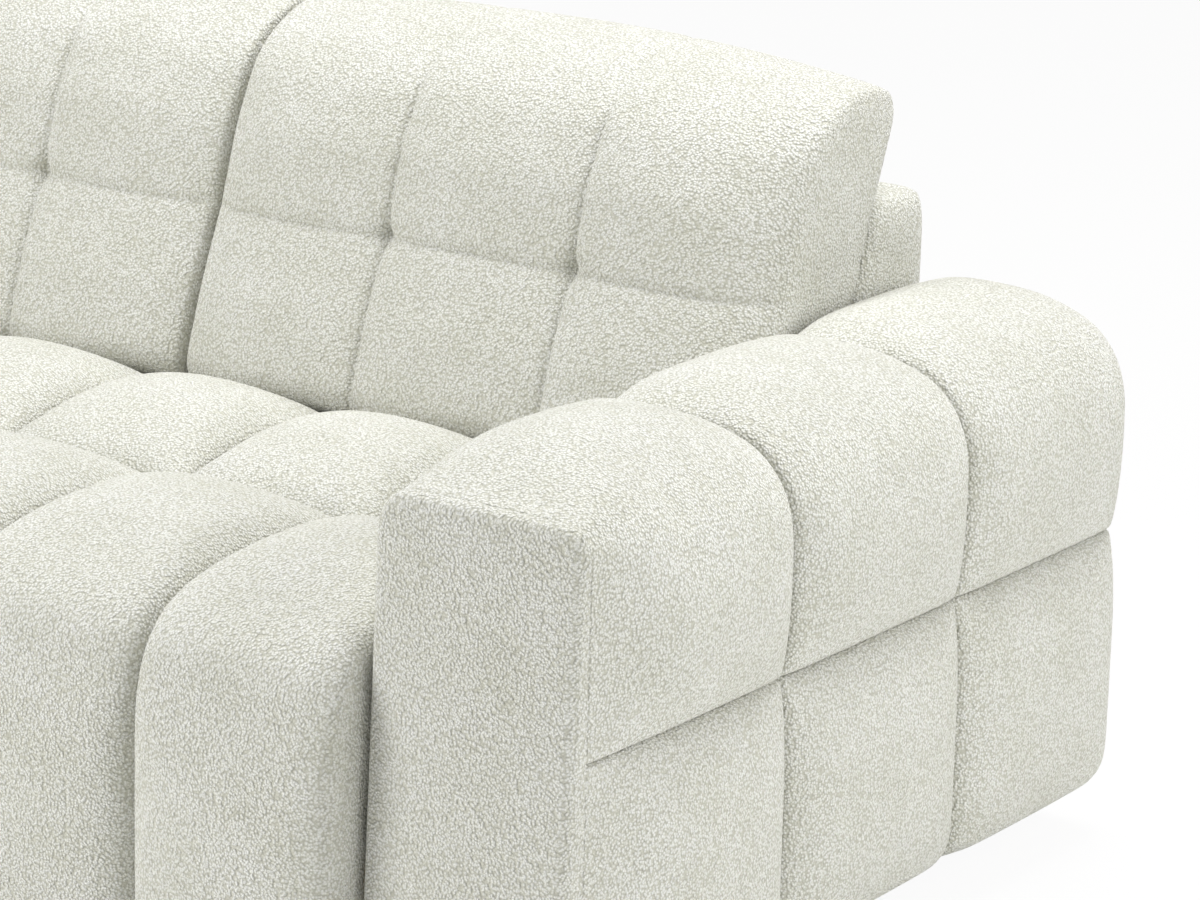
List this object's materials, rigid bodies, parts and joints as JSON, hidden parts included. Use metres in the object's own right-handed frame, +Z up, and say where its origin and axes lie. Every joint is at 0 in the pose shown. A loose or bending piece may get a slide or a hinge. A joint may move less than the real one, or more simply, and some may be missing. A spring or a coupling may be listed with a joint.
{
  "type": "corner sofa",
  "caption": "Low L-shaped sofa in cream bouclé with quilted seats, padded block arms, a chaise end and loose tufted back cushions.",
  "frame": {"origin": "on the floor, at the middle of the outline of the whole sofa", "axes": "+X to the right as seen from the front, +Y to the back, +Z up"},
  "size_m": [2.6386, 1.615, 0.7985],
  "materials": {
    "boucle": "cream looped bouclé",
    "cushion_fill": "white fibre fill",
    "timber": "sawn pine",
    "webbing": "woven elastic strap",
    "dust_cloth": "black spunbond",
    "foot_plastic": "moulded black",
    "bolt_steel": "zinc plated",
    "connector_steel": "black powder coat"
  },
  "bodies": {
    "right_section": {"connector_sockets": "connector_steel", "right_arm_front_panel": "boucle", "right_arm_lower_front": "boucle", "right_arm_lower_middle": "boucle", "right_arm_lower_rear": "boucle", "right_arm_outer_panel": "timber", "right_arm_posts": "timber", "right_arm_rail": "timber", "right_arm_top_board": "timber", "right_arm_upper_front": "boucle", "right_arm_upper_middle": "boucle", "right_arm_upper_rear": "boucle", "right_back_pad": "boucle", "right_back_posts": "timber", "right_back_rail": "timber", "right_bolts": "bolt_steel", "right_corner_blocks": "timber", "right_cross_rail": "timber", "right_dust_cover": "dust_cloth", "right_feet": "foot_plastic", "right_front_rail": "timber", "right_joining_rail": "timber", "right_rear_rail": "timber", "right_seat": "boucle", "right_webbing": "webbing", "right_webbing_rail": "timber"},
    "chaise_cushion": {"back_cushion_chaise": "boucle", "back_cushion_chaise_core": "cushion_fill"},
    "middle_cushion": {"back_cushion_middle": "boucle", "back_cushion_middle_core": "cushion_fill"},
    "right_cushion": {"back_cushion_right": "boucle", "back_cushion_right_core": "cushion_fill"},
    "chaise_section": {"chaise_arm_front_panel": "boucle", "chaise_arm_lower_front": "boucle", "chaise_arm_lower_middle": "boucle", "chaise_arm_lower_rear": "boucle", "chaise_arm_outer_panel": "timber", "chaise_arm_posts": "timber", "chaise_arm_rail": "timber", "chaise_arm_top_board": "timber", "chaise_arm_upper_front": "boucle", "chaise_arm_upper_middle": "boucle", "chaise_arm_upper_rear": "boucle", "chaise_back_pad": "boucle", "chaise_back_posts": "timber", "chaise_back_rail": "timber", "chaise_bolts": "bolt_steel", "chaise_corner_blocks": "timber", "chaise_cross_rail": "timber", "chaise_dust_cover": "dust_cloth", "chaise_feet": "foot_plastic", "chaise_front_rail": "timber", "chaise_joining_rail": "timber", "chaise_rear_rail": "timber", "chaise_seat": "boucle", "chaise_side_panel_left": "boucle", "chaise_side_panel_right": "boucle", "chaise_webbing": "webbing", "chaise_webbing_rail": "timber", "connector_tongues": "connector_steel"}
  },
  "joints": [
    {"name": "chaise_lift", "type": "slide", "parent": "right_section", "child": "chaise_section", "axis": [0, 0, 1], "range_m": [0, 0.06]},
    {"name": "right_cushion_lift", "type": "slide", "parent": "right_section", "child": "right_cushion", "axis": [0, 0, 1], "range_m": [0, 0.3]},
    {"name": "middle_cushion_lift", "type": "slide", "parent": "right_section", "child": "middle_cushion", "axis": [0, 0, 1], "range_m": [0, 0.3]},
    {"name": "chaise_cushion_lift", "type": "slide", "parent": "chaise_section", "child": "chaise_cushion", "axis": [0, 0, 1], "range_m": [0, 0.3]}
  ]
}
